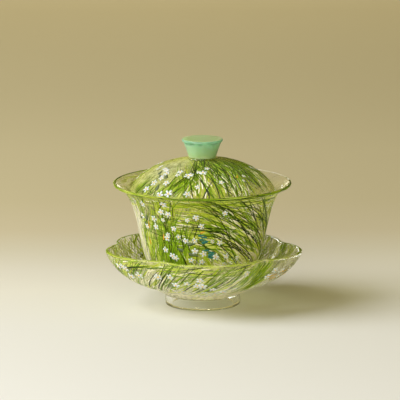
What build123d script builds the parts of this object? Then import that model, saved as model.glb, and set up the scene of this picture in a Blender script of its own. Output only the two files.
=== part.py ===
from build123d import *
import os
from math import cos, hypot, radians, sin

# A glass gaiwan: a lidded tea bowl that stands on a saucer with five petals.
# Millimetres, +Z up.  The origin is the middle of the saucer's foot, on the table.
# The bowl, the lid and the saucer lift apart; what is fused by heat shares a body.

# --- Saucer ---------------------------------------------------------------
saucer_foot_radius = 21.2
saucer_foot_height = 6.2
saucer_foot_wall = 3.6
saucer_foot_edge = 1.5

petal_count = 5
first_notch_angle = 24.2
# Outer wall of the dish, from its foot to its rim: height, reach of a petal, share of
# the reach at the notch beside it, radius that softens the notch, share of the lean.
dish_stations = [
    (6.2, 21.0, 0.990, 12.0, 0.0),
    (9.7, 26.8, 0.970, 10.0, 0.0),
    (13.0, 35.5, 0.945, 8.0, 0.2),
    (17.4, 44.2, 0.915, 6.0, 0.4),
    (23.4, 51.2, 0.890, 5.0, 0.7),
    (32.2, 56.8, 0.870, 4.0, 1.0),
]
# The rim is formed by hand and isn't quite level: it leans up towards this bearing.
rim_lean = 1.2
rim_lean_bearing = 238.0
dish_wall = 2.3
dish_floor_top = 10.3
rim_edge = 0.8
well_radius = 20.7
well_depth = 0.8

# --- Bowl -----------------------------------------------------------------
stand_gap = 0.2
bowl_foot_radius = 19.6
bowl_foot_height = 4.0
bowl_foot_wall = 3.2
bowl_foot_edge = 1.1
bowl_floor = 2.6
bowl_wall = 1.8
lip_wall = 1.2
# Outer wall of the bowl above its foot: radius and height over the table.
bowl_stations = [
    (26.8, 17.6),
    (31.9, 26.5),
    (34.6, 36.6),
    (37.0, 48.0),
    (40.6, 59.8),
    (43.5, 64.8),
    (49.7, 68.7),
]

# --- Lid ------------------------------------------------------------------
dome_radius = 41.7
dome_rise = 23.35
dome_centre = 60.45
dome_wall = 1.6
lid_rim_height = 64.15
lid_rim_edge = 0.7

collar_radius = 8.6
collar_top = 84.1
collar_depth = 1.7
collar_edge = 0.4
knob_height = 10.6
knob_base_radius = 7.7
knob_neck_radius = 10.9
knob_top_radius = 11.5
knob_band = 1.5
knob_base_edge = 1.0
knob_band_edge = 0.55
knob_waist = 0.25


def polar(radius, angle):
    """A point in the XY plane, from its distance to the axis and its bearing."""
    return (radius * cos(radians(angle)), radius * sin(radians(angle)))


def moved_in(stations, depths):
    """A wall's (radius, height) stations moved inwards, each by its own depth."""
    moved = []
    for i, (radius, height) in enumerate(stations):
        before = stations[max(i - 1, 0)]
        after = stations[min(i + 1, len(stations) - 1)]
        run = after[0] - before[0]
        rise = after[1] - before[1]
        scale = depths[i] / hypot(run, rise)
        moved.append((radius - rise * scale, height + run * scale))
    return moved


def petal_section(height, reach, notch_share, soften, lean_share):
    """A face bounded by one arc for each petal, with softened notches between them."""
    step = 360 / petal_count
    lean_x, lean_y = polar(rim_lean * lean_share, rim_lean_bearing - 90)
    plane = Plane.XY.offset(height).rotated((lean_x, lean_y, 0))
    with BuildSketch(plane) as section:
        with BuildLine():
            for i in range(petal_count):
                start = first_notch_angle + i * step
                ThreePointArc(
                    polar(reach * notch_share, start),
                    polar(reach, start + step / 2),
                    polar(reach * notch_share, start + step),
                )
        make_face()
        fillet(section.vertices(), soften)
    return section.sketch


# The dish of the saucer: one petalled shell, hollowed by a smaller one.
dish_profile = [(reach, height) for height, reach, *_ in dish_stations]
hollow_profile = moved_in(dish_profile, [dish_wall] * len(dish_profile))
hollow_stations = [
    (height, reach, notch_share, soften + dish_wall, lean_share)
    for (reach, height), (_, _, notch_share, soften, lean_share) in zip(
        hollow_profile, dish_stations
    )
]
# The hollow starts where its wall meets the floor, between its two lowest stations.
low, high = hollow_stations[0], hollow_stations[1]
share_up = (dish_floor_top - low[0]) / (high[0] - low[0])
hollow_stations[0] = tuple(a + (b - a) * share_up for a, b in zip(low, high))

with BuildPart() as saucer_dish:
    for station in dish_stations:
        add(petal_section(*station))
    loft()
    with BuildPart(mode=Mode.PRIVATE) as hollow:
        for station in hollow_stations:
            add(petal_section(*station))
        loft()
    add(hollow.part, mode=Mode.SUBTRACT)
    with BuildSketch(Plane.XY.offset(dish_floor_top)):
        Circle(well_radius)
    extrude(amount=-well_depth, mode=Mode.SUBTRACT)
    fillet(saucer_dish.faces().sort_by(Axis.Z)[-1].edges(), rim_edge)

# The saucer's foot: a thick ring with a rounded lower edge.
with BuildPart() as saucer_foot_ring:
    with BuildSketch():
        Circle(saucer_foot_radius)
        Circle(saucer_foot_radius - saucer_foot_wall, mode=Mode.SUBTRACT)
    extrude(amount=saucer_foot_height)
    fillet(saucer_foot_ring.faces().sort_by(Axis.Z)[0].edges(), saucer_foot_edge)

# The bowl: a bell with a flared lip, one blown wall with a heavier floor.
bowl_foot_bottom = dish_floor_top - well_depth + stand_gap
bowl_bottom = bowl_foot_bottom + bowl_foot_height
floor_top = bowl_bottom + bowl_floor
wall_depths = [bowl_wall] * (len(bowl_stations) - 1) + [lip_wall]
bowl_inside = moved_in(bowl_stations, wall_depths)
lip_outer = bowl_stations[-1]
lip_inner = bowl_inside[-1]
# The lip is half round: its tip lies half its thickness beyond the end of the wall.
lip_run = lip_outer[0] - bowl_stations[-2][0]
lip_rise = lip_outer[1] - bowl_stations[-2][1]
lip_reach = lip_wall / 2 / hypot(lip_run, lip_rise)
lip_tip = (
    (lip_outer[0] + lip_inner[0]) / 2 + lip_run * lip_reach,
    (lip_outer[1] + lip_inner[1]) / 2 + lip_rise * lip_reach,
)

with BuildPart() as bowl_body:
    with BuildSketch(Plane.XZ):
        with BuildLine():
            Line((0, bowl_bottom), (bowl_foot_radius, bowl_bottom))
            Spline((bowl_foot_radius, bowl_bottom), *bowl_stations)
            ThreePointArc(lip_outer, lip_tip, lip_inner)
            Spline(*reversed(bowl_inside), (bowl_foot_radius, floor_top))
            Line((bowl_foot_radius, floor_top), (0, floor_top))
            Line((0, floor_top), (0, bowl_bottom))
        make_face()
    revolve(axis=Axis.Z)

with BuildPart() as bowl_foot_ring:
    with BuildSketch(Plane.XY.offset(bowl_foot_bottom)):
        Circle(bowl_foot_radius)
        Circle(bowl_foot_radius - bowl_foot_wall, mode=Mode.SUBTRACT)
    extrude(amount=bowl_foot_height)
    fillet(bowl_foot_ring.faces().sort_by(Axis.Z)[0].edges(), bowl_foot_edge)

# The lid: half an ellipsoid's shell, open below, with its rim inside the bowl's flare.
with BuildPart() as lid_dome:
    with BuildSketch(Plane.XZ):
        with Locations((0, dome_centre)):
            Ellipse(dome_radius, dome_rise)
            Ellipse(dome_radius - dome_wall, dome_rise - dome_wall, mode=Mode.SUBTRACT)
        with Locations((0, lid_rim_height)):
            Rectangle(
                dome_radius, dome_rise, align=(Align.MIN, Align.MIN), mode=Mode.INTERSECT
            )
    revolve(axis=Axis.Z)
    fillet(lid_dome.faces().sort_by(Axis.Z)[0].edges(), lid_rim_edge)

# A pad of clear glass joins the knob to the top of the dome.  Its underside is the
# sphere that has the dome's own curvature at the top.
dome_top = dome_centre + dome_rise
seat_radius = dome_radius**2 / dome_rise
with BuildPart() as knob_collar:
    with BuildSketch(Plane.XZ):
        with Locations((0, collar_top)):
            Rectangle(collar_radius, collar_depth, align=(Align.MIN, Align.MAX))
        with Locations((0, dome_top - seat_radius)):
            Circle(seat_radius, mode=Mode.SUBTRACT)
    revolve(axis=Axis.Z)
    fillet(knob_collar.faces().sort_by(Axis.Z)[-1].edges(), collar_edge)

# The knob: a solid stud that tapers to its foot, with a rolled band round its flat top.
knob_top = collar_top + knob_height
band_bottom = knob_top - knob_band
waist = (
    (knob_base_radius + knob_neck_radius) / 2 - knob_waist,
    (collar_top + band_bottom) / 2,
)
with BuildPart() as lid_knob:
    with BuildSketch(Plane.XZ) as knob_section:
        with BuildLine():
            Line((0, collar_top), (knob_base_radius, collar_top))
            ThreePointArc(
                (knob_base_radius, collar_top), waist, (knob_neck_radius, band_bottom)
            )
            Line((knob_neck_radius, band_bottom), (knob_top_radius, band_bottom))
            Line((knob_top_radius, band_bottom), (knob_top_radius, knob_top))
            Line((knob_top_radius, knob_top), (0, knob_top))
            Line((0, knob_top), (0, collar_top))
        make_face()
        fillet(knob_section.vertices().group_by(Axis.X)[-1], knob_band_edge)
    revolve(axis=Axis.Z)
    fillet(lid_knob.faces().sort_by(Axis.Z)[0].edges(), knob_base_edge)

pieces = {
    "saucer_dish": saucer_dish,
    "saucer_foot_ring": saucer_foot_ring,
    "bowl_body": bowl_body,
    "bowl_foot_ring": bowl_foot_ring,
    "lid_dome": lid_dome,
    "knob_collar": knob_collar,
    "lid_knob": lid_knob,
}
os.makedirs("parts", exist_ok=True)
for name, piece in pieces.items():
    piece.part.label = name
    export_step(piece.part, f"parts/{name}.step")
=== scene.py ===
import math

import bpy
import numpy as np
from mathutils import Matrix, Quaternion, Vector
from mathutils.bvhtree import BVHTree


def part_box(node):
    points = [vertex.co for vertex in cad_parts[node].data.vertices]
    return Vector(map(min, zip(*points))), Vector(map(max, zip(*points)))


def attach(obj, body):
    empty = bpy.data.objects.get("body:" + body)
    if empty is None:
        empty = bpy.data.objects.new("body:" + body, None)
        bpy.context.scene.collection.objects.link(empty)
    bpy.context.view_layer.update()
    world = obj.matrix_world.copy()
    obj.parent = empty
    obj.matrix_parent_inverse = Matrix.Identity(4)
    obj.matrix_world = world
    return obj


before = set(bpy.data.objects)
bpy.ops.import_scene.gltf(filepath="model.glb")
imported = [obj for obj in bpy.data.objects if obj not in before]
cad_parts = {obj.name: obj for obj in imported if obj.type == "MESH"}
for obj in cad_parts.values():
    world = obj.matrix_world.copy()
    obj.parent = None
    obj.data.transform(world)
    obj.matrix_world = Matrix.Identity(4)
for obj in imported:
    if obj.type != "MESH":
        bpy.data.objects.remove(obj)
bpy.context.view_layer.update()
SEED = 57
rng = np.random.default_rng(SEED)

MM = 0.001

# Camera: a long lens well away from the tea ware, looking slightly down on it.
VIEW_DISTANCE = 2.5
VIEW_ELEVATION = math.radians(11.05)
VIEW_TARGET = Vector((-1.4 * MM, 0.0, 59.55 * MM))
VIEW_ROLL = math.radians(-0.17)
LENS_MM = 400.0
SENSOR_MM = 36.0
CLIP_NEAR = 0.1
CLIP_FAR = 20.0

# Light passes many walls of glass before it reaches the floor or the lens.
GLASS_BOUNCES = 64
CLEAR_BOUNCES = 32
DIFFUSE_BOUNCES = 3

# Softboxes: place, width in metres, power in watts, colour, and the point they are turned to.
SOFTBOXES = {
    "key_light": (Vector((-1.28, -0.34, 1.13)), 1.5, 43.0, (0.90, 0.92, 1.0), VIEW_TARGET),
    "fill_light": (Vector((-0.25, -2.35, 0.62)), 2.2, 35.0, (1.0, 0.96, 0.74), VIEW_TARGET),
    "backdrop_light": (Vector((-0.1, 1.9, 0.95)), 1.6, 9.0, (1.0, 0.97, 0.92), Vector((-0.1, 1.9, 0.0))),
    "low_light": (Vector((-0.45, -1.5, 0.10)), 0.5, 7.0, (1.0, 0.97, 0.82), Vector((0.0, 0.0, 20 * MM))),
}
BACKDROP_SPREAD = math.radians(105)

# Studio sky: height from 0 below to 1 above, and linear colour.
SKY_STRENGTH = 0.66
SKY_STOPS = [
    (0.45, (0.82, 0.70, 0.25, 1.0)), (0.58, (0.76, 0.65, 0.23, 1.0)),
    (0.74, (0.34, 0.28, 0.08, 1.0)), (1.0, (0.32, 0.27, 0.10, 1.0)),
]

# Floor paper: half its width, and its colour by distance behind the origin in metres, darker and warmer
# towards the back: partly the paper's tone, partly painted shade.
FLOOR_REACH = 4.0
PAPER_START = -0.25
PAPER_END = 1.2
PAPER_TONE_AND_SHADE_STOPS = (
    (-0.22, (220, 219, 214)), (-0.06, (218, 216, 208)), (0.036, (218, 214, 200)), (0.09, (211, 206, 190)),
    (0.15, (201, 194, 171)), (0.21, (195, 184, 154)), (0.305, (191, 180, 146)), (0.48, (190, 179, 144)),
    (1.1, (166, 154, 117)),
)

# Where the skins that carry the paint begin and end on each glass piece, how fine they are, and how far
# out their rays start. A ray that misses is cast again a little aside, in radians.
SKIN_COLUMNS = 720
SKIN_ROWS = 110
WASH_COLUMNS = 360
RAY_START = 0.2
RAY_ASIDES = (0.0, 2e-4, -2e-4, 7e-4, -7e-4)
BOWL_SKIN_BELOW = 1.9 * MM
BOWL_SKIN_ABOVE = 0.22 * MM
LID_HEART_BELOW = 3.7 * MM
LID_TILTS = (6.0, 78.0)
SAUCER_HEART_ABOVE = 0.7 * MM
SAUCER_TILTS = (-52.0, -3.5)
RIM_GAP = 0.004
RIM_SEARCH_STEPS = 14
RIM_SEARCH_RISES = (0.9, 1.2)
CREST_DEPTH = 0.5 * MM
CREST_ANGLES = (-10.0, 150.0)
CREST_RAY_START = 3.0 * MM
CREST_ROWS = 10

# A stroke's breadth along it: at its root, how fast it swells, how it narrows, and at its tip. Its ridge
# never sinks below a share of its full height.
ROOT_BREADTH = 0.45
SWELL_RATE = 2.4
NARROWING = 0.65
TIP_BREADTH = 0.02
RIDGE_SHARE = 0.35

# Heights of the enamel coats off the glass.
WASH_LIFT = 0.03 * MM
WASH_HEIGHT_SHARE = 0.6
COAT_STEP = 0.022 * MM
STROKE_BODY = 0.05 * MM
FLOWER_COATS = 4.6
PETAL_HEIGHT = 0.16 * MM
PETAL_STEP = 0.01 * MM
EYE_HEIGHT = 0.2 * MM
EYE_LIFT = 0.12 * MM

# A flower's parts: the first three as shares of its width, the others as shares of PETAL_BREADTH or of
# a petal's own shape.
PETAL_CENTRE = 0.26
EYE_RADIUS = 0.105
PETAL_BREADTH = 0.27
PETAL_LENGTH = 0.92
PETAL_HALF_WIDTH = 0.48
PETAL_NOTCH = 0.86
PETAL_SWELL = 0.35

# Flowers in a patch: the least distance between two as a share of their width, tries for each one, and how
# much one differs from the next.
FLOWER_GAP = 0.95
PATCH_TRIES = 30
FLOWER_SIZE_SPREAD = (0.68, 1.12)
FLOWER_SHADE_SPREAD = (0.35, 0.95)
PETAL_TURN_SPREAD = (-0.12, 0.12)
PETAL_LENGTH_SPREAD = (0.85, 1.12)
PETAL_SHADE_SPREAD = (-0.1, 0.1)
EYE_SHADE_SPREAD = (0.2, 0.8)

# A mound's shoulder: how far out it is and how high, as shares. No mound goes over a rim.
SHOULDER_REACH = 0.55
SHOULDER_HEIGHT = 0.8
HIGHEST_MOUND_RISE = 0.995


def srgb(red, green, blue):
    """Linear colour of an sRGB triple from 0 to 255, with alpha 1."""
    parts = []
    for value in (red, green, blue):
        share = value / 255
        parts.append(share / 12.92 if share <= 0.04045 else ((share + 0.055) / 1.055) ** 2.4)
    return (*parts, 1.0)


# ---------------------------------------------------------------- materials

GLASS_TINT = (0.99, 0.99, 0.97, 1.0)
GLASS_LETS_THROUGH = (0.965, 0.965, 0.93, 1.0)
GLASS_IOR = 1.46
WASH_CLEAR = (0.98, 0.985, 0.92, 1.0)
WASH_GLOW = 0.42
WASH_STREAKS = 420.0
LEAF_STOPS = [(0.1, srgb(132, 160, 16)), (0.45, srgb(193, 207, 56)), (0.85, srgb(236, 236, 130))]
CREAM_STOPS = [(0.0, srgb(233, 229, 198)), (1.0, srgb(253, 251, 240))]
JADE_STOPS = [
    (0.0, srgb(172, 192, 150)), (0.14, srgb(148, 178, 124)), (0.45, srgb(144, 176, 138)),
    (0.68, srgb(138, 172, 146)), (0.8, srgb(110, 148, 122)), (1.0, srgb(98, 138, 112)),
]
# Painted light: the lighter olive tone of the knob's upward-facing top.
JADE_TOP_PAINTED_LIGHT = srgb(151, 172, 122)


def new_material(name):
    material = bpy.data.materials.new(name)
    material.use_nodes = True
    material.node_tree.nodes.clear()
    return material, material.node_tree.nodes, material.node_tree.links


def principled(nodes, **values):
    """A Principled BSDF with constant values on its own sockets, named with _ for a space."""
    body = nodes.new("ShaderNodeBsdfPrincipled")
    for name, value in values.items():
        body.inputs[name.replace("_", " ")].default_value = value
    return body


def surface_of(nodes, links, shader):
    out = nodes.new("ShaderNodeOutputMaterial")
    links.new(shader, out.inputs["Surface"])


def mix_of(nodes, links, share, first, second):
    """Two shaders mixed. share is a number or a socket."""
    mix = nodes.new("ShaderNodeMixShader")
    if isinstance(share, float):
        mix.inputs["Fac"].default_value = share
    else:
        links.new(share, mix.inputs["Fac"])
    links.new(first, mix.inputs[1])
    links.new(second, mix.inputs[2])
    return mix.outputs["Shader"]


def see_through(nodes, colour):
    clear = nodes.new("ShaderNodeBsdfTransparent")
    clear.inputs["Color"].default_value = colour
    return clear.outputs["BSDF"]


def lit_from_behind(nodes, links, colour):
    behind = nodes.new("ShaderNodeBsdfTranslucent")
    links.new(colour, behind.inputs["Color"])
    return behind.outputs["BSDF"]


def attribute_of(nodes, name):
    attribute = nodes.new("ShaderNodeAttribute")
    attribute.attribute_name = name
    return attribute.outputs["Fac"]


def axis_of(nodes, links, vector, axis):
    split = nodes.new("ShaderNodeSeparateXYZ")
    links.new(vector, split.inputs["Vector"])
    return split.outputs[axis]


def blend_of(nodes, links, share, first, second):
    """Two colours blended. second is a socket or a constant colour."""
    blend = nodes.new("ShaderNodeMix")
    blend.data_type = "RGBA"
    links.new(share, blend.inputs["Factor"])
    links.new(first, blend.inputs["A"])
    if isinstance(second, tuple):
        blend.inputs["B"].default_value = second
    else:
        links.new(second, blend.inputs["B"])
    return blend.outputs["Result"]


def place_of(nodes, links, scale, stretch=(1.0, 1.0, 1.0), turn=(0.0, 0.0, 0.0)):
    """Object coordinates, stretched and turned, for a noise of the given scale per metre."""
    where = nodes.new("ShaderNodeTexCoord")
    mapping = nodes.new("ShaderNodeMapping")
    mapping.inputs["Scale"].default_value = [scale * s for s in stretch]
    mapping.inputs["Rotation"].default_value = turn
    links.new(where.outputs["Object"], mapping.inputs["Vector"])
    return mapping.outputs["Vector"]


def noise_of(nodes, links, vector, detail=3.0, rough=0.55):
    noise = nodes.new("ShaderNodeTexNoise")
    noise.inputs["Scale"].default_value = 1.0
    noise.inputs["Detail"].default_value = detail
    noise.inputs["Roughness"].default_value = rough
    links.new(vector, noise.inputs["Vector"])
    return noise.outputs["Fac"]


def ramp_of(nodes, links, value, stops):
    ramp = nodes.new("ShaderNodeValToRGB")
    while len(ramp.color_ramp.elements) < len(stops):
        ramp.color_ramp.elements.new(0.5)
    for element, (position, colour) in zip(ramp.color_ramp.elements, stops):
        element.position = position
        element.color = colour
    links.new(value, ramp.inputs["Fac"])
    return ramp.outputs["Color"]


def bump_of(nodes, links, height, strength, distance):
    bump = nodes.new("ShaderNodeBump")
    bump.inputs["Strength"].default_value = strength
    bump.inputs["Distance"].default_value = distance
    links.new(height, bump.inputs["Height"])
    return bump.outputs["Normal"]


def range_of(nodes, links, value, source, target):
    """A value moved from a (low, high) source range to a target range."""
    spread = nodes.new("ShaderNodeMapRange")
    spread.inputs["From Min"].default_value, spread.inputs["From Max"].default_value = source
    spread.inputs["To Min"].default_value, spread.inputs["To Max"].default_value = target
    links.new(value, spread.inputs["Value"])
    return spread.outputs["Result"]


def maths(nodes, links, operation, first, second):
    """Two sockets combined, clamped to 0 to 1."""
    step = nodes.new("ShaderNodeMath")
    step.operation = operation
    step.use_clamp = True
    links.new(first, step.inputs[0])
    links.new(second, step.inputs[1])
    return step.outputs["Value"]


def clear_glass(name):
    """Hand-blown clear glass: a little wavy, with lamps and bounced light reaching through it."""
    material, nodes, links = new_material(name)
    body = principled(nodes, Base_Color=GLASS_TINT, Transmission_Weight=1.0, IOR=GLASS_IOR,
                      Specular_IOR_Level=0.3)
    waves = noise_of(nodes, links, place_of(nodes, links, 70.0, (1.0, 1.0, 0.45)), 1.0)
    links.new(bump_of(nodes, links, waves, 0.08, 1.0 * MM), body.inputs["Normal"])
    smears = noise_of(nodes, links, place_of(nodes, links, 240.0, (1.0, 1.0, 0.3)), 4.0)
    links.new(range_of(nodes, links, smears, (0.45, 0.8), (0.0, 0.03)), body.inputs["Roughness"])
    path = nodes.new("ShaderNodeLightPath")
    clear = see_through(nodes, GLASS_LETS_THROUGH)
    shader = body.outputs["BSDF"]
    for ray in ("Is Diffuse Ray", "Is Shadow Ray"):
        shader = mix_of(nodes, links, path.outputs[ray], shader, clear)
    surface_of(nodes, links, shader)
    return material


def enamel(name, dark, light, glow=0.0, rough=0.38, thin=0.0, stain=(1.0, 1.0, 1.0, 1.0)):
    """Fired enamel: each stroke its own shade from dark to light, mottled and glossy.
    glow is how much of it is lit from behind, thin how much is see-through, and stain the colour that it
    gives what is seen through it."""
    material, nodes, links = new_material(name)
    body = principled(nodes, Specular_IOR_Level=0.15)
    mottle = noise_of(nodes, links, place_of(nodes, links, 900.0), 4.0)
    mottle_part = range_of(nodes, links, mottle, (0.3, 0.7), (-0.22, 0.22))
    shade = maths(nodes, links, "ADD", attribute_of(nodes, "shade"), mottle_part)
    colour = ramp_of(nodes, links, shade, [(0.0, dark), (1.0, light)])
    roughness = range_of(nodes, links, mottle, (0.3, 0.75), (rough - 0.1, rough + 0.18))
    links.new(colour, body.inputs["Base Color"])
    links.new(roughness, body.inputs["Roughness"])
    links.new(bump_of(nodes, links, mottle, 0.35, 0.05 * MM), body.inputs["Normal"])
    behind = lit_from_behind(nodes, links, colour)
    shader = mix_of(nodes, links, glow, body.outputs["BSDF"], behind)
    if thin:
        shader = mix_of(nodes, links, thin, shader, see_through(nodes, stain))
    surface_of(nodes, links, shader)
    return material


def wash(name, lean):
    """A thin brushed coat: streaky along a leaning line, more open where its cover attribute is low, and
    creamy where its attribute for cream is high, which is partly cream paint and partly painted highlight."""
    material, nodes, links = new_material(name)
    along = place_of(nodes, links, WASH_STREAKS, (1.0, 1.0, 0.22), (0.0, lean, 0.0))
    streaks = noise_of(nodes, links, along, 6.0, 0.62)
    clouds = noise_of(nodes, links, place_of(nodes, links, 140.0), 3.0)
    tone = maths(nodes, links, "ADD", range_of(nodes, links, streaks, (0.3, 0.7), (0.0, 0.45)),
                 range_of(nodes, links, clouds, (0.35, 0.65), (0.0, 0.55)))
    leaf = ramp_of(nodes, links, tone, LEAF_STOPS)
    cream = ramp_of(nodes, links, tone, CREAM_STOPS)
    colour = blend_of(nodes, links, attribute_of(nodes, "cream_and_highlight"), leaf, cream)
    thick = range_of(nodes, links, streaks, (0.36, 0.62), (0.3, 0.9))
    alpha = maths(nodes, links, "MULTIPLY", attribute_of(nodes, "cover"), thick)
    body = principled(nodes, Roughness=0.45, Specular_IOR_Level=0.3)
    links.new(colour, body.inputs["Base Color"])
    behind = lit_from_behind(nodes, links, colour)
    paint = mix_of(nodes, links, WASH_GLOW, body.outputs["BSDF"], behind)
    surface_of(nodes, links, mix_of(nodes, links, alpha, see_through(nodes, WASH_CLEAR), paint))
    return material


def jade_glass(name, low_height, high_height):
    """Milky jade glass: paler at its foot, darker round its band, with painted light on its upward-facing
    top, cloudy and soft-lit inside.
    """
    material, nodes, links = new_material(name)
    body = principled(nodes, Subsurface_Weight=0.9, Subsurface_Radius=(0.6, 1.0, 0.7),
                      Subsurface_Scale=14.0 * MM, Coat_Weight=0.06, Coat_Roughness=0.08,
                      Specular_IOR_Level=0.3)
    where = nodes.new("ShaderNodeTexCoord")
    height = axis_of(nodes, links, where.outputs["Object"], "Z")
    climb = range_of(nodes, links, height, (low_height, high_height), (0.0, 0.85))
    clouds = noise_of(nodes, links, place_of(nodes, links, 190.0, (1.0, 1.0, 1.8)), 5.0, 0.6)
    tone = maths(nodes, links, "ADD", climb, range_of(nodes, links, clouds, (0.3, 0.7), (-0.1, 0.18)))
    colour = ramp_of(nodes, links, tone, JADE_STOPS)
    # Painted light: faces that look up blend towards the top's lighter tone.
    facing_up = axis_of(nodes, links, where.outputs["Normal"], "Z")
    top_light_share = range_of(nodes, links, facing_up, (0.86, 0.995), (0.0, 0.95))
    links.new(blend_of(nodes, links, top_light_share, colour, JADE_TOP_PAINTED_LIGHT), body.inputs["Base Color"])
    grain = noise_of(nodes, links, place_of(nodes, links, 1500.0), 3.0)
    links.new(range_of(nodes, links, grain, (0.3, 0.7), (0.32, 0.46)), body.inputs["Roughness"])
    links.new(bump_of(nodes, links, clouds, 0.12, 0.4 * MM), body.inputs["Normal"])
    surface_of(nodes, links, body.outputs["BSDF"])
    return material


# ------------------------------------------------------ the skins painted on


class Skin:
    """The outer face of a glass piece as a grid: its bearing in degrees, and its rise from 0 at its foot to
    1 at its rim."""

    def __init__(self, node, aims, wavy=False, rows=SKIN_ROWS):
        """aims gives, for a bearing's unit vector and a rise, a point outside the glass and the way in.
        A wavy rim is followed: rise 1 is then just below the highest ray that hits the glass there."""
        tree = BVHTree.FromObject(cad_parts[node], bpy.context.evaluated_depsgraph_get())
        columns = SKIN_COLUMNS
        self.columns = columns
        self.rows = rows
        points = np.zeros((rows + 1, columns, 3))
        for column in range(columns):
            bearing = 2 * math.pi * column / columns
            top = self.rim_rise(tree, aims, bearing) if wavy else 1.0
            for row in range(rows + 1):
                hit = self.cast(tree, aims, bearing, top * row / rows)
                if hit is None:
                    raise RuntimeError(f"{node}: bearing {column}, rise {row / rows} misses the glass")
                points[row, column] = hit
        self.points = points
        east = (np.roll(points, -1, 1) - np.roll(points, 1, 1)) / 2
        up = np.gradient(points, axis=0)
        self.east_scale = np.linalg.norm(east, axis=2) * columns / 360
        self.up_scale = np.linalg.norm(up, axis=2) * rows
        normal = np.cross(east, up)
        self.normal = normal / np.linalg.norm(normal, axis=2, keepdims=True)
        self.east = east / np.linalg.norm(east, axis=2, keepdims=True)
        self.up = np.cross(self.normal, self.east)

    @staticmethod
    def cast(tree, aims, bearing, rise):
        """Where the ray hits. One that slips between two faces is cast again just beside it."""
        for aside in RAY_ASIDES:
            out = Vector((math.cos(bearing + aside), math.sin(bearing + aside), 0.0))
            hit = tree.ray_cast(*aims(out, rise))[0]
            if hit is not None:
                return hit
        return None

    @staticmethod
    def rim_rise(tree, aims, bearing):
        """The rise of a ray just below the highest one that hits, found by halving."""
        top, above = RIM_SEARCH_RISES
        for _ in range(RIM_SEARCH_STEPS):
            middle = (top + above) / 2
            if Skin.cast(tree, aims, bearing, middle) is None:
                above = middle
            else:
                top = middle
        return top - RIM_GAP

    def read(self, grid, bearing, rise):
        """A grid's values between its points, at arrays of bearings and rises."""
        across = (np.asarray(bearing, float) % 360) * self.columns / 360
        along = np.clip(np.asarray(rise, float), 0, 1) * self.rows
        column = np.floor(across).astype(int) % self.columns
        row = np.minimum(np.floor(along).astype(int), self.rows - 1)
        part_across, part_along = across - np.floor(across), along - row
        if grid.ndim == 3:
            part_across, part_along = part_across[..., None], part_along[..., None]
        after = (column + 1) % self.columns
        low = grid[row, column] * (1 - part_across) + grid[row, after] * part_across
        high = grid[row + 1, column] * (1 - part_across) + grid[row + 1, after] * part_across
        return low * (1 - part_along) + high * part_along


def level_aim(low, high):
    """Level rays towards the axis, for a cup wall between two heights."""
    def aims(out, rise):
        height = low + (high - low) * rise
        return out * RAY_START + Vector((0, 0, height)), -out
    return aims


def tilted_aim(heart, tilts):
    """Rays towards one point on the axis, from a low tilt to a high one in degrees."""
    low, high = tilts

    def aims(out, rise):
        tilt = math.radians(low + (high - low) * rise)
        away = out * math.cos(tilt) + Vector((0, 0, math.sin(tilt)))
        return away * RAY_START + Vector((0, 0, heart)), -away
    return aims


def crest_aim(skin):
    """Rays towards the heart of a skin's rounded rim, from its outer side over its top to its inner side."""
    low, high = CREST_ANGLES

    def aims(out, rise):
        bearing = math.degrees(math.atan2(out.y, out.x))
        heart = Vector(skin.read(skin.points, [bearing], [1.0])[0]) - out * CREST_DEPTH
        angle = math.radians(low + (high - low) * rise)
        away = out * math.cos(angle) + Vector((0, 0, math.sin(angle)))
        return heart + away * CREST_RAY_START, -away
    return aims


bowl_low, bowl_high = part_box("bowl_body")
lid_low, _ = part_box("lid_dome")
_, dish_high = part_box("saucer_dish")
knob_low, knob_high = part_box("lid_knob")

bowl = Skin("bowl_body", level_aim(bowl_low.z + BOWL_SKIN_BELOW, bowl_high.z - BOWL_SKIN_ABOVE))
lid = Skin("lid_dome", tilted_aim(lid_low.z - LID_HEART_BELOW, LID_TILTS))
saucer = Skin("saucer_dish", tilted_aim(dish_high.z + SAUCER_HEART_ABOVE, SAUCER_TILTS), wavy=True)
SKINS = {
    "bowl": bowl, "lid": lid, "saucer": saucer,
    # The crests carry lines that are partly enamel and partly painted reflection and highlight.
    "bowl_rim": Skin("bowl_body", crest_aim(bowl), rows=CREST_ROWS),
    "saucer_rim": Skin("saucer_dish", crest_aim(saucer), rows=CREST_ROWS),
}
BODIES = {place: place.split("_")[0] for place in SKINS}


# ------------------------------------------------------------- mesh building


def add_piece(name, points, faces, body, material, attributes):
    """A smooth-shaded piece that rides on a body, with its point attributes for the material."""
    mesh = bpy.data.meshes.new(name)
    mesh.from_pydata(points.tolist(), [], faces)
    for key, values in attributes.items():
        mesh.attributes.new(key, "FLOAT", "POINT").data.foreach_set("value", np.asarray(values, np.float32))
    mesh.polygons.foreach_set("use_smooth", [True] * len(mesh.polygons))
    mesh.materials.append(material)
    mesh.update()
    piece = bpy.data.objects.new(name, mesh)
    bpy.context.scene.collection.objects.link(piece)
    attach(piece, body)


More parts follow.
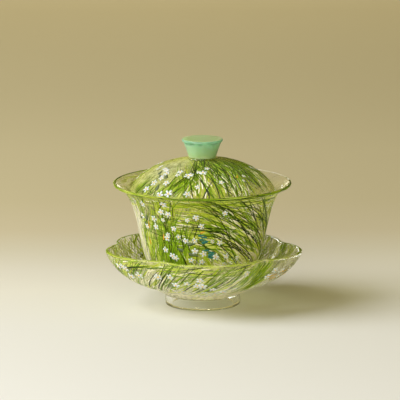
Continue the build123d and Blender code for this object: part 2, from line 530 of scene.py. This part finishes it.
class Strokes:
    """Brush strokes of one colour on one skin: raised ribbons that taper to a point, open below if sheer."""

    STEPS = 12

    def __init__(self, skin, layer, sheer):
        self.skin = skin
        self.lift = WASH_LIFT + layer * COAT_STEP
        self.sides = 2 if sheer else 3
        self.points, self.faces, self.shades = [], [], []
        self.count = 0

    @staticmethod
    def taper(share):
        """A stroke's breadth along it: it swells quickly from its root and narrows to its tip."""
        return min(1.0, ROOT_BREADTH + SWELL_RATE * share) * (1 - share) ** NARROWING + TIP_BREADTH

    def add(self, bearing, rise, heading, length, width, bend, wave, shade):
        """Strokes from arrays: roots (bearing, rise), headings, bends and waves in degrees, lengths and
        widths in metres, and shades. A stroke ends where it runs off the skin."""
        skin, steps = self.skin, self.STEPS
        bearing, rise = np.array(bearing, float), np.array(rise, float)
        heading = np.radians(heading)
        track, alive = [], np.ones(len(bearing), bool)
        for step in range(steps + 1):
            track.append((bearing, rise, heading, alive))
            swing = math.cos(2 * math.pi * (step / steps))
            turn = np.radians(bend) / steps + np.radians(wave) * swing / steps
            bearing = bearing + length / steps * np.cos(heading) / skin.read(skin.east_scale, bearing, rise)
            rise = rise + length / steps * np.sin(heading) / skin.read(skin.up_scale, bearing, rise)
            heading = heading + turn
            alive = alive & (rise > 0.0) & (rise < 1.0)
        rings = []
        for step, (bearing, rise, heading, _) in enumerate(track):
            taper = self.taper(step / steps)
            centre = skin.read(skin.points, bearing, rise)
            normal = skin.read(skin.normal, bearing, rise)
            east, up = skin.read(skin.east, bearing, rise), skin.read(skin.up, bearing, rise)
            side = up * np.cos(heading)[:, None] - east * np.sin(heading)[:, None]
            half = (width * taper / 2)[:, None]
            base = centre + normal * self.lift
            top = base + normal * (STROKE_BODY * (RIDGE_SHARE + (1 - RIDGE_SHARE) * taper))
            rings.append(np.stack([base - side * half, top, base + side * half], 1))
        rings = np.stack(rings, 1)
        number = len(alive)
        start = self.count + np.arange(number)[:, None, None] * (steps + 1) * 3
        step_at = np.arange(steps)[None, :, None] * 3
        corner = np.arange(self.sides)[None, None, :]
        after = (corner + 1) % 3
        quads = np.stack([start + step_at + corner, start + step_at + after,
                          start + step_at + 3 + after, start + step_at + 3 + corner], -1)
        live = np.stack([still_on for _, _, _, still_on in track[1:]], 1)
        self.faces.append(quads[live].reshape(-1, 4))
        self.points.append(rings.reshape(-1, 3))
        self.shades.append(np.repeat(shade, (steps + 1) * 3))
        self.count += number * (steps + 1) * 3

    def build(self, name, body, material):
        points, faces = np.concatenate(self.points), np.concatenate(self.faces)
        used = np.unique(faces)
        place = np.zeros(len(points), int)
        place[used] = np.arange(len(used))
        shades = np.concatenate(self.shades)[used]
        add_piece(name, points[used], place[faces].tolist(), body, material, {"shade": shades})


# Grass tones from the lowest coat to the highest, then accents, which share the top coat.
TONES = ("pale", "mid", "cream", "deep", "ink")
ACCENTS = ("sage", "teal", "ochre")
SHEER = ("pale", "mid")
# Mean widths in mm, reaches as shares of a zone's length, and shares of a zone's counts.
WIDTHS = {"pale": 1.55, "mid": 1.2, "cream": 1.0, "deep": 0.66, "ink": 0.52, "sage": 1.7, "teal": 1.0,
          "ochre": 0.9}
REACHES = {"pale": 0.9, "mid": 1.0, "cream": 0.32, "deep": 1.2, "ink": 1.5}
DENSITY = {"pale": 0.30, "mid": 0.28, "cream": 0.9, "deep": 0.7, "ink": 0.95}
# How much one stroke of a zone differs from the next.
LENGTH_SPREAD = (0.65, 1.35)
WIDTH_SPREAD = (0.6, 1.3)
BEND_SPREAD = (0.4, 1.5)
WAVE_SPREAD = (-25, 25)
SHADE_SPREAD = (0.1, 0.9)
coats = {}
for place, skin in SKINS.items():
    for layer, tone in enumerate(TONES + ACCENTS):
        coats[place, tone] = Strokes(skin, min(layer, len(TONES)), tone in SHEER)


def zone(place, bearings, rises, heading, fan, length, bend, counts):
    """Grass over part of a skin: length in mm, and counts of strokes for each tone."""
    for tone, count in zip(TONES, counts):
        count = round(count * DENSITY[tone])
        if not count:
            continue
        reach = length * REACHES[tone]
        bearing = rng.uniform(*bearings, count)
        rise = rng.uniform(*rises, count)
        headings = heading + rng.uniform(-fan, fan, count)
        lengths = reach * MM * rng.uniform(*LENGTH_SPREAD, count)
        widths = WIDTHS[tone] * MM * rng.uniform(*WIDTH_SPREAD, count)
        bends = bend * rng.uniform(*BEND_SPREAD, count)
        waves = rng.uniform(*WAVE_SPREAD, count)
        shades = rng.uniform(*SHADE_SPREAD, count)
        coats[place, tone].add(bearing, rise, headings, lengths, widths, bends, waves, shades)


# Bearings are in degrees, 270 at the front and 180 at the left, and may run past 360 or below 0. A
# heading of 0 runs round the piece towards higher bearings, and 90 runs from its foot to its rim.
# Grass zones: skin, bearings, rises, heading and its fan, length in mm, bend, and how many strokes of each
# tone before DENSITY.
GRASS = (
    # Bowl: long blades leaning over to the left on its right side, tufts on its left, sweeps below its lip.
    ("bowl", (292, 352), (0.20, 0.62), 132, 19, 28, 20, (150, 50, 64, 36, 36)),
    ("bowl", (286, 326), (0.50, 0.86), 146, 15, 22, 12, (90, 30, 60, 24, 18)),
    ("bowl", (240, 300), (0.44, 0.80), 172, 10, 20, 6, (90, 50, 34, 18, 10)),
    ("bowl", (228, 345), (0.84, 0.97), 176, 6, 20, 0, (110, 60, 20, 12, 4)),
    ("bowl", (232, 262), (0.12, 0.50), 92, 24, 15, 6, (20, 100, 6, 80, 14)),
    ("bowl", (224, 250), (0.10, 0.45), 78, 24, 14, 10, (10, 70, 0, 90, 12)),
    ("bowl", (200, 226), (0.10, 0.42), 82, 26, 13, 8, (80, 44, 10, 18, 4)),
    # Mostly cream strokes up the bowl's left edge: a painted highlight where the light from the left falls.
    ("bowl", (160, 208), (0.10, 0.84), 88, 14, 26, 6, (26, 12, 150, 6, 0)),
    ("bowl", (204, 246), (0.40, 0.86), 68, 24, 12, 10, (30, 60, 0, 66, 12)),
    ("bowl", (262, 296), (0.10, 0.42), 122, 30, 14, 12, (60, 40, 16, 14, 4)),
    # A band on the very lip: partly enamel, partly painted reflection of the green that the thick lip
    # carries.
    ("bowl", (252, 356), (0.975, 0.997), 179, 0.6, 26, 0, (0, 50, 0, 44, 12)),
    ("bowl", (176, 252), (0.975, 0.997), 179, 0.6, 22, 0, (40, 80, 0, 10, 0)),
    ("bowl", (352, 470), (0.12, 0.70), 112, 24, 24, 18, (110, 130, 60, 70, 30)),
    ("bowl", (470, 505), (0.12, 0.70), 74, 22, 22, 16, (40, 50, 20, 20, 8)),
    ("bowl", (95, 188), (0.80, 0.97), 4, 14, 16, 0, (260, 60, 50, 16, 0)),
    # Lid: a fan rising from the rim on its right two thirds, short tufts at its left.
    ("lid", (254, 300), (0.03, 0.34), 100, 24, 21, 16, (44, 40, 34, 56, 26)),
    ("lid", (296, 352), (0.03, 0.34), 90, 26, 20, -10, (36, 50, 40, 80, 40)),
    ("lid", (262, 340), (0.35, 0.66), 100, 26, 14, 14, (24, 30, 12, 34, 14)),
    ("lid", (236, 258), (0.03, 0.26), 66, 18, 10, 10, (10, 30, 0, 60, 14)),
    ("lid", (196, 240), (0.02, 0.12), 62, 22, 7, 10, (10, 40, 0, 60, 16)),
    ("lid", (352, 440), (0.03, 0.38), 90, 24, 17, 8, (70, 100, 40, 50, 22)),
    ("lid", (80, 176), (0.03, 0.30), 80, 24, 13, 10, (80, 70, 26, 30, 8)),
    # Saucer: slanting blades rising to the right along its front, criss-crossed ones on its back.
    ("saucer", (202, 262), (0.34, 0.80), 54, 12, 22, -16, (60, 20, 44, 50, 12)),
    ("saucer", (262, 306), (0.28, 0.78), 58, 12, 25, -14, (60, 14, 50, 54, 13)),
    # Cream strokes low on the front: partly paler paint near the foot, partly painted light on the part that
    # faces the floor.
    ("saucer", (196, 336), (0.03, 0.30), 24, 30, 20, -10, (60, 0, 170, 0, 0)),
    ("saucer", (206, 262), (0.84, 0.97), 6, 8, 14, 0, (40, 4, 10, 14, 6)),
    ("saucer", (262, 306), (0.84, 0.97), 8, 8, 14, 0, (36, 4, 10, 6, 2)),
    ("saucer", (306, 315), (0.36, 0.88), 72, 6, 14, -6, (0, 60, 0, 44, 6)),
    ("saucer", (2, 74), (0.45, 0.90), 118, 22, 16, 10, (0, 160, 50, 170, 56)),
    ("saucer", (2, 74), (0.45, 0.90), 62, 20, 15, -8, (0, 70, 40, 100, 28)),
    ("saucer", (78, 132), (0.42, 0.90), 84, 26, 16, 8, (20, 80, 40, 70, 26)),
    ("saucer", (132, 202), (0.45, 0.90), 120, 24, 15, 12, (0, 300, 30, 50, 6)),
    ("saucer", (132, 202), (0.45, 0.90), 52, 18, 14, -10, (0, 130, 20, 26, 6)),
    # Rims: a line of long strokes lying along each crest, partly an enamel rim line and partly painted
    # reflection and highlight: green where the thick lip carries the grass's colour, cream and pale where
    # the rims catch the light.
    ("bowl_rim", (196, 258), (0.05, 0.75), 0, 1, 22, 0, (60, 20, 0, 22, 4)),
    ("bowl_rim", (256, 356), (0.05, 0.60), 0, 1, 26, 0, (10, 10, 0, 40, 18)),
    ("bowl_rim", (120, 196), (0.05, 0.85), 0, 1, 22, 0, (40, 60, 0, 170, 10)),
    ("bowl_rim", (4, 64), (0.30, 0.70), 0, 1, 24, 0, (0, 0, 90, 0, 0)),
    ("saucer_rim", (196, 344), (0.05, 0.75), 0, 1, 16, 0, (330, 60, 60, 30, 6)),
    ("saucer_rim", (60, 196), (0.05, 0.60), 0, 1, 14, 0, (40, 150, 30, 60, 0)),
    ("saucer_rim", (-16, 60), (0.05, 0.95), 0, 1, 14, 0, (60, 260, 20, 60, 0)),
)
for row in GRASS:
    zone(*row)

# Single blades and dabs: bearing, rise, heading, length in mm, bend, tone.
BLADES = {
    "bowl": (
        (350, 0.31, 138, 58, 18, "ink"), (346, 0.24, 130, 62, 34, "ink"), (341, 0.42, 136, 48, 18, "ink"),
        (330, 0.22, 132, 44, 26, "ink"), (320, 0.24, 134, 36, 24, "ink"), (352, 0.45, 118, 34, 24, "ink"),
        (346, 0.34, 144, 66, 12, "deep"), (336, 0.30, 140, 56, 18, "deep"), (326, 0.34, 146, 50, 14, "deep"),
        (312, 0.22, 128, 34, 30, "deep"), (300, 0.62, 172, 38, 4, "ink"), (306, 0.50, 166, 44, 8, "deep"),
        (296, 0.40, 172, 34, 4, "deep"), (310, 0.38, 160, 40, 14, "ink"), (338, 0.90, 184, 40, -4, "deep"),
        (322, 0.95, 186, 44, -4, "deep"), (247, 0.20, 96, 24, 8, "deep"), (243, 0.18, 104, 22, 10, "deep"),
        (250, 0.16, 84, 24, -8, "deep"), (256, 0.20, 108, 20, 14, "ink"), (252, 0.44, 92, 12, 4, "ink"),
        (206, 0.70, 20, 4, 0, "sage"), (211, 0.66, -40, 4, 0, "sage"), (215, 0.69, 60, 4, 0, "sage"),
        (256, 0.47, 10, 5, 0, "sage"), (257, 0.37, -12, 6, 0, "sage"), (252, 0.40, 160, 4, 0, "sage"),
        (266, 0.57, 6, 4, 0, "teal"), (274, 0.55, 174, 4, 0, "teal"), (267, 0.53, -4, 4, 0, "teal"),
        (275, 0.51, 184, 4, 0, "teal"), (269, 0.49, 4, 3.5, 0, "teal"), (276, 0.41, 176, 4, 0, "teal"),
        (275, 0.39, -4, 4, 0, "teal"), (281, 0.37, 184, 4, 0, "teal"), (275, 0.35, 4, 3.5, 0, "teal"),
        (280, 0.33, 176, 3.5, 0, "teal"), (217, 0.60, 84, 5, 0, "ochre"), (215, 0.42, 96, 5, 0, "ochre"),
        (233, 0.50, 80, 4, 0, "ochre"), (268, 0.60, 20, 3, 0, "ochre"),
    ),
    "lid": (
        (276, 0.06, 104, 32, 22, "ink"), (284, 0.06, 94, 30, 18, "ink"), (292, 0.06, 84, 26, 24, "ink"),
        (304, 0.08, 78, 24, 16, "ink"), (316, 0.08, 92, 24, -14, "ink"), (328, 0.06, 84, 22, 16, "ink"),
        (338, 0.08, 96, 20, -10, "ink"), (262, 0.08, 102, 22, 10, "ink"), (270, 0.06, 66, 18, -12, "ink"),
        (280, 0.05, 112, 30, 14, "deep"), (288, 0.05, 104, 30, 12, "deep"), (300, 0.05, 98, 28, 10, "deep"),
        (213, 0.33, 110, 4, 0, "sage"), (217, 0.30, 30, 4, 0, "sage"), (229, 0.29, 120, 4, 0, "sage"),
        (227, 0.12, 96, 5, 0, "sage"), (310, 0.30, 60, 3, 0, "ochre"), (60, 0.25, 110, 4, 0, "sage"),
    ),
    "saucer": (
        (222, 0.52, 58, 24, -20, "ink"), (230, 0.50, 58, 26, -20, "ink"), (252, 0.46, 58, 32, -20, "ink"),
        (262, 0.44, 58, 34, -18, "ink"), (286, 0.46, 66, 26, -12, "ink"), (240, 0.60, 60, 20, -16, "deep"),
        (272, 0.52, 60, 28, -14, "deep"), (210, 0.88, 4, 26, 0, "ink"), (232, 0.90, 6, 24, 0, "deep"),
        (296, 0.52, 64, 22, -10, "deep"), (321, 0.74, 12, 7, 0, "ochre"), (331, 0.79, 10, 8, 0, "ochre"),
        (325, 0.69, 14, 6, 0, "ochre"), (338, 0.73, 8, 6, 0, "ochre"), (140, 0.70, 150, 5, 0, "sage"),
    ),
}
BLADE_BREADTH = 1.6
BLADE_WAVE = np.array([8.0])
BLADE_SHADE = np.array([0.2])
for place, blades in BLADES.items():
    for bearing, rise, heading, length, bend, tone in blades:
        width = WIDTHS[tone] * MM * BLADE_BREADTH
        coats[place, tone].add([bearing], [rise], [heading], length * MM, np.array([width]),
                               np.array([bend]), BLADE_WAVE, BLADE_SHADE)

# Enamel colours, each from dark to light.
ENAMEL_COLOURS = {
    "pale": ((196, 212, 70), (234, 238, 140)), "mid": ((154, 182, 26), (202, 214, 72)),
    "cream": ((214, 208, 168), (238, 233, 216)), "deep": ((80, 118, 6), (140, 170, 30)),
    "ink": ((12, 22, 2), (42, 64, 8)), "sage": ((84, 98, 66), (132, 146, 112)),
    "teal": ((30, 96, 92), (84, 150, 140)), "ochre": ((196, 150, 34), (222, 184, 74)),
}
SHEER_LOOKS = {
    "pale": {"glow": 0.4, "thin": 0.15, "stain": (0.9, 0.95, 0.6, 1.0)},
    "mid": {"glow": 0.4, "thin": 0.15, "stain": (0.8, 0.9, 0.4, 1.0)},
}
enamels = {}
for tone, (dark, light) in ENAMEL_COLOURS.items():
    enamels[tone] = enamel(f"enamel_{tone}", srgb(*dark), srgb(*light), **SHEER_LOOKS.get(tone, {}))
for (place, tone), strokes in coats.items():
    if strokes.points:
        strokes.build(f"{place}_grass_{tone}", BODIES[place], enamels[tone])


# ------------------------------------------------------------------ flowers


class Mounds:
    """Raised closed mounds of one colour on one skin."""

    def __init__(self, skin):
        self.skin = skin
        self.points, self.faces, self.shades = [], [], []
        self.count = 0

    def add(self, where, outline, height, lift, shade):
        """A mound over an outline of (right, up) offsets in metres about a (bearing, rise)."""
        skin, (bearing, rise) = self.skin, where
        wide = skin.read(skin.east_scale, bearing, rise)
        tall = skin.read(skin.up_scale, bearing, rise)
        middle = outline.mean(0)
        ring = np.concatenate([outline, middle + (outline - middle) * SHOULDER_REACH, [middle]])
        bearings = bearing + ring[:, 0] / wide
        rises = np.clip(rise + ring[:, 1] / tall, 0.0, HIGHEST_MOUND_RISE)
        corners = len(outline)
        shares = np.concatenate([np.zeros(corners), np.full(corners, SHOULDER_HEIGHT), [1.0]])
        raised = (shares * height + lift)[:, None]
        top = skin.read(skin.points, bearings, rises) + skin.read(skin.normal, bearings, rises) * raised
        edge, shoulder, peak = self.count, self.count + corners, self.count + 2 * corners
        self.points.append(top)
        for corner in range(corners):
            after = (corner + 1) % corners
            self.faces.append([edge + corner, edge + after, shoulder + after, shoulder + corner])
            self.faces.append([shoulder + corner, shoulder + after, peak])
        self.faces.append([edge + corner for corner in reversed(range(corners))])
        self.shades.append(np.full(len(top), shade))
        self.count += len(top)

    def build(self, name, body, material):
        add_piece(name, np.concatenate(self.points), self.faces, body, material,
                  {"shade": np.concatenate(self.shades)})


class Blossoms:
    """Small five-petalled flowers on one skin."""

    PETALS = 5
    PETAL_EDGE = 9
    EYE_EDGE = 8

    def __init__(self, skin):
        self.skin = skin
        self.petals = Mounds(skin)
        self.eyes = Mounds(skin)

    def flower(self, bearing, rise, size, turn, shade):
        """size is its width in metres."""
        layer = WASH_LIFT + FLOWER_COATS * COAT_STEP
        petal = size * PETAL_BREADTH
        for number in range(self.PETALS):
            angle = turn + 2 * math.pi * number / self.PETALS + rng.uniform(*PETAL_TURN_SPREAD)
            length = petal * rng.uniform(*PETAL_LENGTH_SPREAD)
            way = np.array([math.cos(angle), math.sin(angle)])
            side = np.array([-way[1], way[0]])
            centre = way * (size * PETAL_CENTRE)
            outline = []
            for step in range(self.PETAL_EDGE):
                round_it = 2 * math.pi * step / self.PETAL_EDGE
                along = math.cos(round_it) * length * (PETAL_NOTCH if step == 0 else 1.0)
                swell = 1 + PETAL_SWELL * math.cos(round_it)
                across = math.sin(round_it) * petal * PETAL_HALF_WIDTH * swell
                outline.append(centre + way * along * PETAL_LENGTH + side * across)
            self.petals.add((bearing, rise), np.array(outline), PETAL_HEIGHT, layer + PETAL_STEP * number,
                            shade + rng.uniform(*PETAL_SHADE_SPREAD))
        radius = size * EYE_RADIUS
        angles = np.linspace(0, 2 * math.pi, self.EYE_EDGE + 1)[:-1]
        eye = np.array([[math.cos(angle) * radius, math.sin(angle) * radius] for angle in angles])
        self.eyes.add((bearing, rise), eye, EYE_HEIGHT, layer + EYE_LIFT, rng.uniform(*EYE_SHADE_SPREAD))

    def patch(self, bearing, rise, wide, tall, count, size):
        """Flowers scattered about a place, none on top of another. wide, tall and size are in mm."""
        skin, done = self.skin, []
        east = skin.read(skin.east_scale, bearing, rise)
        up = skin.read(skin.up_scale, bearing, rise)
        for _ in range(count * PATCH_TRIES):
            if len(done) == count:
                break
            x, y = rng.uniform(-1, 1, 2) * (wide * MM / 2, tall * MM / 2)
            if any(math.hypot(x - far, y - high) < size * MM * FLOWER_GAP for far, high in done):
                continue
            done.append((x, y))
            self.flower(bearing + x / east, rise + y / up, size * MM * rng.uniform(*FLOWER_SIZE_SPREAD),
                        rng.uniform(0, 2 * math.pi), rng.uniform(*FLOWER_SHADE_SPREAD))


petal_white = enamel("enamel_white", srgb(184, 193, 174), srgb(219, 224, 236), rough=0.42)
eye_orange = enamel("enamel_orange", srgb(238, 182, 56), srgb(250, 214, 104))

# Patches: bearing, rise, width and height in mm, number, flower width in mm.
BLOSSOM_PATCHES = {
    "bowl": (
        (214, 0.88, 12, 5, 2, 4.4), (238, 0.86, 10, 9, 3, 4.4), (232, 0.66, 11, 12, 4, 4.4),
        (216, 0.66, 8, 10, 2, 4.2), (244, 0.58, 9, 8, 3, 5.0), (256, 0.50, 9, 8, 2, 5.0),
        (264, 0.72, 9, 12, 3, 4.2), (240, 0.38, 10, 8, 2, 4.8), (252, 0.36, 10, 8, 2, 4.6),
        (266, 0.36, 10, 10, 3, 4.0), (280, 0.46, 8, 8, 2, 4.0), (286, 0.32, 12, 8, 3, 4.2),
        (300, 0.34, 8, 6, 1, 4.2), (284, 0.78, 8, 4, 1, 3.6), (60, 0.55, 34, 26, 8, 4.6),
        (120, 0.60, 30, 26, 8, 4.6), (165, 0.60, 26, 24, 5, 4.4), (10, 0.40, 26, 16, 4, 4.4),
    ),
    "lid": (
        (214, 0.08, 7, 4, 1, 5.2), (228, 0.24, 11, 8, 3, 5.0), (238, 0.10, 9, 5, 2, 5.2),
        (228, 0.42, 12, 8, 3, 4.2), (246, 0.34, 8, 8, 2, 5.0), (260, 0.16, 9, 6, 2, 4.8),
        (262, 0.44, 10, 6, 2, 4.8), (276, 0.52, 10, 6, 2, 3.4), (290, 0.22, 8, 6, 1, 4.0),
        (206, 0.42, 14, 9, 5, 3.2), (318, 0.28, 10, 8, 2, 3.4), (20, 0.30, 40, 16, 6, 4.4),
        (80, 0.30, 40, 16, 7, 4.4), (135, 0.28, 40, 16, 7, 4.4),
    ),
    "saucer": (
        (220, 0.78, 9, 9, 4, 5.2), (210, 0.88, 8, 5, 2, 4.6), (243, 0.73, 12, 7, 3, 5.4),
        (262, 0.74, 12, 7, 3, 5.2), (275, 0.66, 9, 6, 2, 6.2), (280, 0.46, 12, 6, 3, 4.8),
        (298, 0.84, 6, 4, 1, 6.0), (300, 0.52, 9, 6, 1, 4.6), (324, 0.80, 10, 8, 3, 4.8),
        (336, 0.76, 10, 7, 3, 4.8), (248, 0.48, 12, 7, 2, 4.8), (276, 0.26, 12, 5, 2, 4.8),
        (150, 0.70, 34, 14, 5, 4.4), (40, 0.70, 40, 14, 6, 4.4), (95, 0.68, 40, 14, 6, 4.4),
        (180, 0.72, 16, 12, 3, 4.4),
    ),
}
for place, patches in BLOSSOM_PATCHES.items():
    blossoms = Blossoms(SKINS[place])
    for patch in patches:
        blossoms.patch(*patch)
    blossoms.petals.build(f"{place}_petals", place, petal_white)
    blossoms.eyes.build(f"{place}_flower_eyes", place, eye_orange)


# ------------------------------------------------------------------- washes


def soft_spot(bearings, rises, at, width, height):
    """1 at a spot's centre, falling smoothly to 0; width in degrees, height in rise."""
    bearing, rise = at
    turn = (bearings - bearing + 180) % 360 - 180
    return np.exp(-((turn / width) ** 2) - ((rises - rise) / height) ** 2)


def wash_coat(place, cover, spots, material):
    """A thin coat over a whole skin, with its usual cover and the spots that change it."""
    skin = SKINS[place]
    rows, columns = skin.rows, WASH_COLUMNS
    bearing, rise = np.meshgrid(np.arange(columns) * 360 / columns, np.linspace(0.0, 1.0, rows + 1))
    density, cream_and_highlight = np.full(bearing.shape, float(cover)), np.zeros(bearing.shape)
    for at_bearing, at_rise, width, height, change, cream in spots:
        spot = soft_spot(bearing, rise, (at_bearing, at_rise), width, height)
        density += change * spot
        cream_and_highlight += cream * spot
    lift = skin.read(skin.normal, bearing, rise) * WASH_LIFT * WASH_HEIGHT_SHARE
    points = skin.read(skin.points, bearing, rise) + lift
    index = np.arange((rows + 1) * columns).reshape(rows + 1, columns)
    turned = np.roll(index, -1, 1)
    faces = np.stack([index[:-1], turned[:-1], turned[1:], index[1:]], -1).reshape(-1, 4)
    add_piece(f"{place}_wash", points.reshape(-1, 3), faces.tolist(), place, material,
              {"cover": np.clip(density, 0.0, 1.0).ravel(), "cream_and_highlight": np.clip(cream_and_highlight, 0.0, 1.0).ravel()})


# Washes: usual cover, lean of the brushing in radians, and spots. A spot is its bearing, rise, width,
# height, change of cover, and how creamy it is; a few creamy spots are painted light, marked below.
WASHES = {
    "bowl": (0.66, 0.5, (
        # The first bowl spot, creamy at the left edge, is a painted highlight where the light from the left
        # falls.
        (190, 0.60, 26, 0.46, 0.34, 1.4), (150, 0.42, 22, 0.55, -0.6, 0.0), (20, 0.99, 80, 0.10, -0.75, 0.0),
        (150, 0.93, 34, 0.10, 0.5, 0.1), (335, 0.99, 25, 0.09, -0.6, 0.0), (306, 0.62, 12, 0.14, -0.25, 0.3),
        (240, 0.3, 20, 0.2, 0.2, 0.0),
    )),
    "lid": (0.66, 0.2, (
        (214, 0.48, 36, 0.44, 0.2, 0.56), (330, 0.1, 30, 0.15, -0.3, 0.0), (255, 0.75, 30, 0.2, 0.1, 0.0),
    )),
    "saucer": (0.56, -0.8, (
        # The saucer spot at bearing 270, rise 0 creams its low front, which faces the floor: partly paler
        # paint near the foot, partly painted light.
        (338, 0.62, 20, 0.5, -0.06, 1.5), (270, 0.0, 100, 0.5, 0.44, 1.5), (256, 0.60, 54, 0.45, 0.26, 0.62),
        (90, 0.05, 120, 0.24, -0.5, 0.0), (105, 0.6, 110, 0.6, -0.36, 0.0), (165, 0.6, 36, 0.6, -0.26, 0.0),
        (312, 0.7, 7, 0.5, 0.45, 0.0), (296, 0.56, 14, 0.3, 0.2, 0.7),
    )),
}
for place, (cover, lean, spots) in WASHES.items():
    wash_coat(place, cover, spots, wash(f"wash_{place}", lean))


# ---------------------------------------------------------------- the glass

glass = clear_glass("clear_glass")
jade = jade_glass("jade_glass", knob_low.z, knob_high.z)
for name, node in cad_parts.items():
    node.data.materials.clear()
    node.data.materials.append(jade if name == "lid_knob" else glass)


# --------------------------------------------------- floor, light and camera


def studio_paper():
    """Matt paper that turns darker and warmer from front to back: partly its own tone, partly painted shade.
    """
    material, nodes, links = new_material("studio_paper")
    body = principled(nodes, Roughness=0.9, Specular_IOR_Level=0.1)
    where = nodes.new("ShaderNodeTexCoord")
    depth = axis_of(nodes, links, where.outputs["Object"], "Y")
    across = range_of(nodes, links, depth, (PAPER_START, PAPER_END), (0.0, 1.0))
    span = PAPER_END - PAPER_START
    stops = [((y - PAPER_START) / span, srgb(*colour)) for y, colour in PAPER_TONE_AND_SHADE_STOPS]
    links.new(ramp_of(nodes, links, across, stops), body.inputs["Base Color"])
    surface_of(nodes, links, body.outputs["BSDF"])
    return material


def studio_sky():
    """A soft warm surround, brightest at the height of the horizon."""
    world = bpy.data.worlds.new("studio")
    world.use_nodes = True
    nodes, links = world.node_tree.nodes, world.node_tree.links
    nodes.clear()
    out = nodes.new("ShaderNodeOutputWorld")
    sky = nodes.new("ShaderNodeBackground")
    where = nodes.new("ShaderNodeTexCoord")
    climb = axis_of(nodes, links, where.outputs["Generated"], "Z")
    height = range_of(nodes, links, climb, (-1.0, 1.0), (0.0, 1.0))
    links.new(ramp_of(nodes, links, height, SKY_STOPS), sky.inputs["Color"])
    sky.inputs["Strength"].default_value = SKY_STRENGTH
    links.new(sky.outputs["Background"], out.inputs["Surface"])
    return world


floor_mesh = bpy.data.meshes.new("floor")
corners = [(-1, -1, 0), (1, -1, 0), (1, 1, 0), (-1, 1, 0)]
floor_mesh.from_pydata([tuple(FLOOR_REACH * c for c in corner) for corner in corners], [], [(0, 1, 2, 3)])
floor = bpy.data.objects.new("floor", floor_mesh)
bpy.context.scene.collection.objects.link(floor)
floor_mesh.materials.append(studio_paper())
bpy.context.scene.world = studio_sky()


def add_softbox(name, place, width, watts, colour, aim):
    light = bpy.data.lights.new(name, "AREA")
    light.shape = "DISK"
    light.size = width
    light.energy = watts
    light.color = colour
    holder = bpy.data.objects.new(name, light)
    holder.location = place
    holder.rotation_mode = "QUATERNION"
    holder.rotation_quaternion = (aim - place).to_track_quat("-Z", "Y")
    bpy.context.scene.collection.objects.link(holder)
    return light


lights = {name: add_softbox(name, *values) for name, values in SOFTBOXES.items()}
lights["backdrop_light"].spread = BACKDROP_SPREAD

camera_data = bpy.data.cameras.new("camera")
camera_data.lens = LENS_MM
camera_data.sensor_width = SENSOR_MM
camera_data.clip_start = CLIP_NEAR
camera_data.clip_end = CLIP_FAR
camera = bpy.data.objects.new("camera", camera_data)
back = Vector((0.0, -math.cos(VIEW_ELEVATION), math.sin(VIEW_ELEVATION)))
camera.location = VIEW_TARGET + back * VIEW_DISTANCE
camera.rotation_mode = "QUATERNION"
facing = (-back).to_track_quat("-Z", "Y")
facing.rotate(Quaternion(back, VIEW_ROLL))
camera.rotation_quaternion = facing
bpy.context.scene.collection.objects.link(camera)
bpy.context.scene.camera = camera

scene = bpy.context.scene
scene.view_settings.view_transform = "Standard"
scene.cycles.use_denoising = True
scene.cycles.max_bounces = GLASS_BOUNCES
scene.cycles.transmission_bounces = GLASS_BOUNCES
scene.cycles.transparent_max_bounces = CLEAR_BOUNCES
scene.cycles.diffuse_bounces = DIFFUSE_BOUNCES
scene.cycles.glossy_bounces = GLASS_BOUNCES
